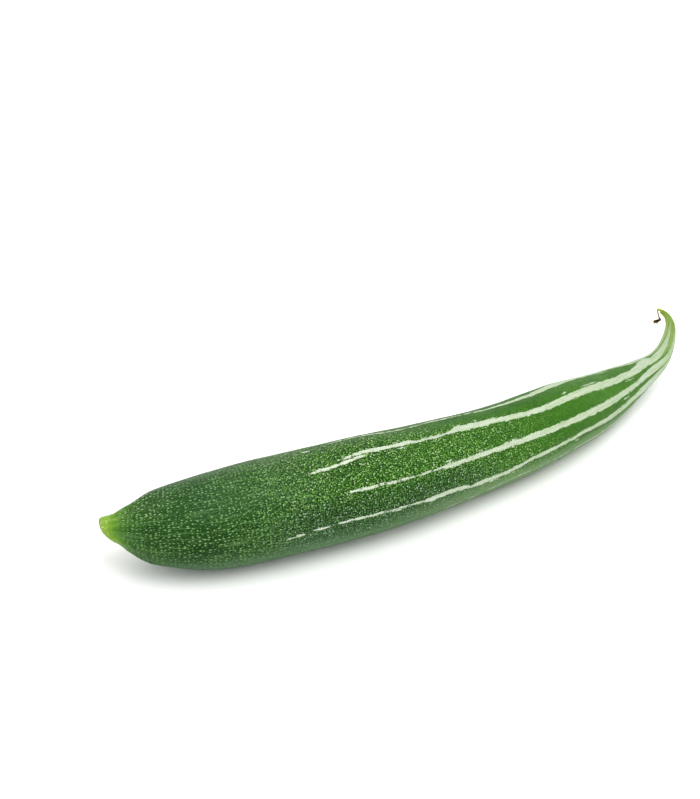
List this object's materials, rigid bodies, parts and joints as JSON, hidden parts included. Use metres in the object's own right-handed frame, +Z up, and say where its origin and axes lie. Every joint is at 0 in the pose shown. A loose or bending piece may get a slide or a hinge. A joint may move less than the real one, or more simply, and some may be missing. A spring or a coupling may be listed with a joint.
{
  "type": "snake gourd",
  "caption": "Whole snake gourd lying on its belly: a long curved body with a blunt neck, a cut stem stub, a thin hooked beak and a withered flower.",
  "frame": {"origin": "bottom centre of the whole object's bounding box, on the surface that it rests on", "axes": "+Z up; +X along the longest extent, from the stem end towards the beak; +Y towards the inner side of the bend"},
  "size_m": [0.3638, 0.081, 0.0477],
  "materials": {
    "fruit_skin": "satin waxy skin, dark green with pale speckle and pale lengthwise stripes",
    "cut_stem": "fresh yellow-green stem, matt, with a pale cut face",
    "withered_flower": "dry, wrinkled and matt, yellow-brown to dark brown"
  },
  "bodies": {
    "root": {"fruit": "fruit_skin", "stem_stub": "cut_stem", "dried_flower": "withered_flower"}
  },
  "joints": []
}
